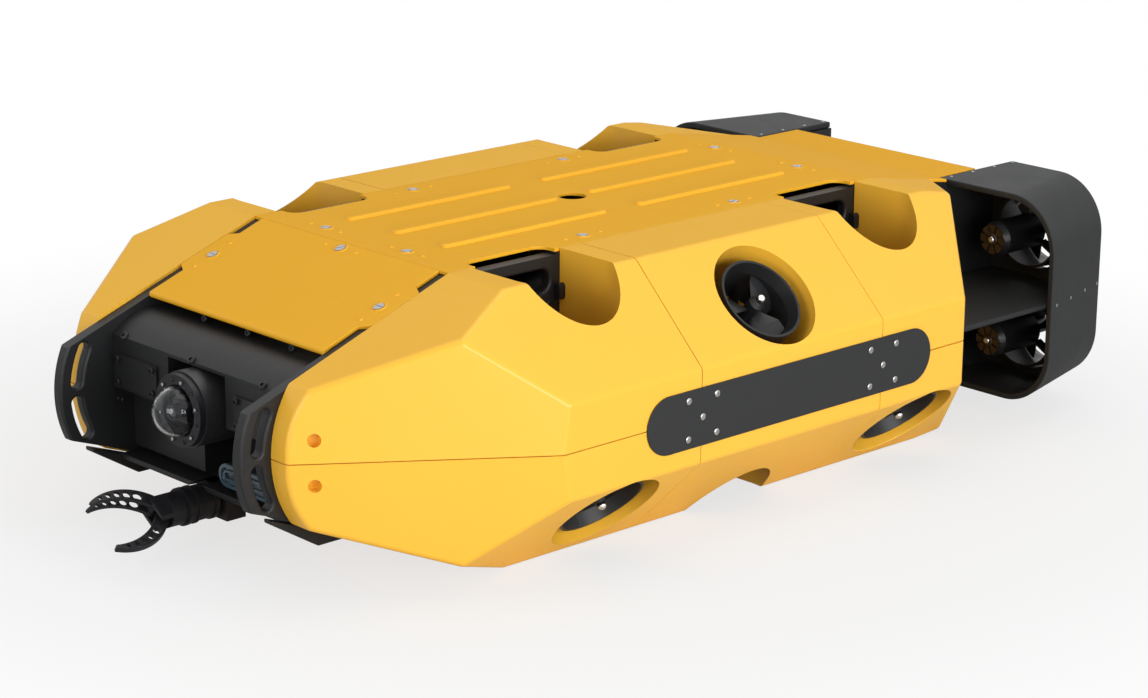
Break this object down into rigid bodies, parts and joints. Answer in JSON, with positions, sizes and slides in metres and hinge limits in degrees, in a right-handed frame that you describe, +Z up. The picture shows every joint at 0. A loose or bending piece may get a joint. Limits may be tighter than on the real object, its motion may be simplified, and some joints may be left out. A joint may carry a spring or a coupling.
{
  "type": "underwater inspection rov",
  "caption": "Low, wide underwater inspection vehicle with vectored thrusters in moulded fairings, stern ducts, a dome camera and a front gripper.",
  "frame": {"origin": "centre of the belly face, level with the middle pair of thrusters", "axes": "+Z up, the nose points along -Y, port is +X"},
  "size_m": [0.7424, 1.314, 0.3195],
  "materials": {
    "hull_yellow": "satin moulded yellow",
    "frame_black": "satin black",
    "duct_black": "satin black",
    "nose_black": "satin black",
    "thruster_black": "satin black",
    "anodised_black": "black anodised",
    "plate_black": "fine matt",
    "stainless": "bright",
    "dome_clear": "clear",
    "lens_clear": "dark glossy"
  },
  "bodies": {
    "hull": {"belly_nose_panel": "hull_yellow", "belly_panel": "hull_yellow", "belly_tail_panel": "hull_yellow", "camera_dome": "dome_clear", "camera_flange": "anodised_black", "camera_housing": "anodised_black", "cross_members": "frame_black", "deck_fasteners": "stainless", "deck_panel": "hull_yellow", "duct_shelves": "duct_black", "electronics_housing": "anodised_black", "gripper_arm": "anodised_black", "gripper_mount": "anodised_black", "light_bar": "lens_clear", "nameplate_screws": "stainless", "nameplates": "plate_black", "nose_covers": "nose_black", "nose_lip": "nose_black", "nose_shell": "nose_black", "nose_slope_panel": "hull_yellow", "port_chassis_plate": "frame_black", "port_duct": "duct_black", "port_fairing_front_lower": "hull_yellow", "port_fairing_front_upper": "hull_yellow", "port_fairing_mid_lower": "hull_yellow", "port_fairing_mid_upper": "hull_yellow", "port_fairing_rear_lower": "hull_yellow", "port_fairing_rear_upper": "hull_yellow", "port_motors": "anodised_black", "port_nozzles": "thruster_black", "rear_bulkhead": "frame_black", "skid_shoes": "frame_black", "starboard_chassis_plate": "frame_black", "starboard_duct": "duct_black", "starboard_fairing_front_lower": "hull_yellow", "starboard_fairing_front_upper": "hull_yellow", "starboard_fairing_mid_lower": "hull_yellow", "starboard_fairing_mid_upper": "hull_yellow", "starboard_fairing_rear_lower": "hull_yellow", "starboard_fairing_rear_upper": "hull_yellow", "starboard_motors": "anodised_black", "starboard_nozzles": "thruster_black", "tail_panel": "hull_yellow", "tail_slope_panel": "hull_yellow", "tether_socket": "stainless", "thruster_plates": "duct_black"},
    "port_propeller_front": {"port_propeller_front": "thruster_black"},
    "port_propeller_mid": {"port_propeller_mid": "thruster_black"},
    "port_propeller_rear": {"port_propeller_rear": "thruster_black"},
    "port_propeller_stern_upper": {"port_propeller_stern_upper": "thruster_black"},
    "port_propeller_stern_lower": {"port_propeller_stern_lower": "thruster_black"},
    "starboard_propeller_front": {"starboard_propeller_front": "thruster_black"},
    "starboard_propeller_mid": {"starboard_propeller_mid": "thruster_black"},
    "starboard_propeller_rear": {"starboard_propeller_rear": "thruster_black"},
    "starboard_propeller_stern_upper": {"starboard_propeller_stern_upper": "thruster_black"},
    "starboard_propeller_stern_lower": {"starboard_propeller_stern_lower": "thruster_black"},
    "camera_tilt": {"camera_module": "anodised_black"},
    "wrist": {"gripper_wrist": "anodised_black"},
    "upper_jaw": {"jaw_upper": "anodised_black"},
    "lower_jaw": {"jaw_lower": "anodised_black"}
  },
  "joints": [
    {"name": "port_propeller_front_spin", "type": "hinge", "parent": "hull", "child": "port_propeller_front", "pos_m": [0.31392, -0.246, 0.0626], "axis": [0.697, 0, -0.7171], "continuous": true},
    {"name": "port_propeller_mid_spin", "type": "hinge", "parent": "hull", "child": "port_propeller_mid", "pos_m": [0.31392, 0, 0.2534], "axis": [0.697, 0, 0.7171], "continuous": true},
    {"name": "port_propeller_rear_spin", "type": "hinge", "parent": "hull", "child": "port_propeller_rear", "pos_m": [0.31392, 0.246, 0.0626], "axis": [0.697, 0, -0.7171], "continuous": true},
    {"name": "port_propeller_stern_upper_spin", "type": "hinge", "parent": "hull", "child": "port_propeller_stern_upper", "pos_m": [0.241, 0.63, 0.224], "axis": [0, 1, 0], "continuous": true},
    {"name": "port_propeller_stern_lower_spin", "type": "hinge", "parent": "hull", "child": "port_propeller_stern_lower", "pos_m": [0.241, 0.63, 0.092], "axis": [0, 1, 0], "continuous": true},
    {"name": "starboard_propeller_front_spin", "type": "hinge", "parent": "hull", "child": "starboard_propeller_front", "pos_m": [-0.31392, -0.246, 0.0626], "axis": [-0.697, 0, -0.7171], "continuous": true},
    {"name": "starboard_propeller_mid_spin", "type": "hinge", "parent": "hull", "child": "starboard_propeller_mid", "pos_m": [-0.31392, 0, 0.2534], "axis": [-0.697, 0, 0.7171], "continuous": true},
    {"name": "starboard_propeller_rear_spin", "type": "hinge", "parent": "hull", "child": "starboard_propeller_rear", "pos_m": [-0.31392, 0.246, 0.0626], "axis": [-0.697, 0, -0.7171], "continuous": true},
    {"name": "starboard_propeller_stern_upper_spin", "type": "hinge", "parent": "hull", "child": "starboard_propeller_stern_upper", "pos_m": [-0.241, 0.63, 0.224], "axis": [0, 1, 0], "continuous": true},
    {"name": "starboard_propeller_stern_lower_spin", "type": "hinge", "parent": "hull", "child": "starboard_propeller_stern_lower", "pos_m": [-0.241, 0.63, 0.092], "axis": [0, 1, 0], "continuous": true},
    {"name": "camera_tilt", "type": "hinge", "parent": "hull", "child": "camera_tilt", "pos_m": [0, -0.572, 0.169], "axis": [1, 0, 0], "range_deg": [-55, 55]},
    {"name": "wrist_turn", "type": "hinge", "parent": "hull", "child": "wrist", "pos_m": [-0.012, -0.598, 0.054], "axis": [0, -1, 0], "continuous": true},
    {"name": "upper_jaw_hinge", "type": "hinge", "parent": "wrist", "child": "upper_jaw", "pos_m": [-0.01942, -0.606, 0.0591], "axis": [-0.5664, 0, -0.8241], "range_deg": [-22, 18]},
    {"name": "lower_jaw_hinge", "type": "hinge", "parent": "wrist", "child": "lower_jaw", "pos_m": [-0.00458, -0.606, 0.0489], "axis": [-0.5664, 0, -0.8241], "range_deg": [-18, 22]}
  ],
  "couplings": [
    {"joint": "lower_jaw_hinge", "follows": "upper_jaw_hinge", "ratio": -1}
  ]
}
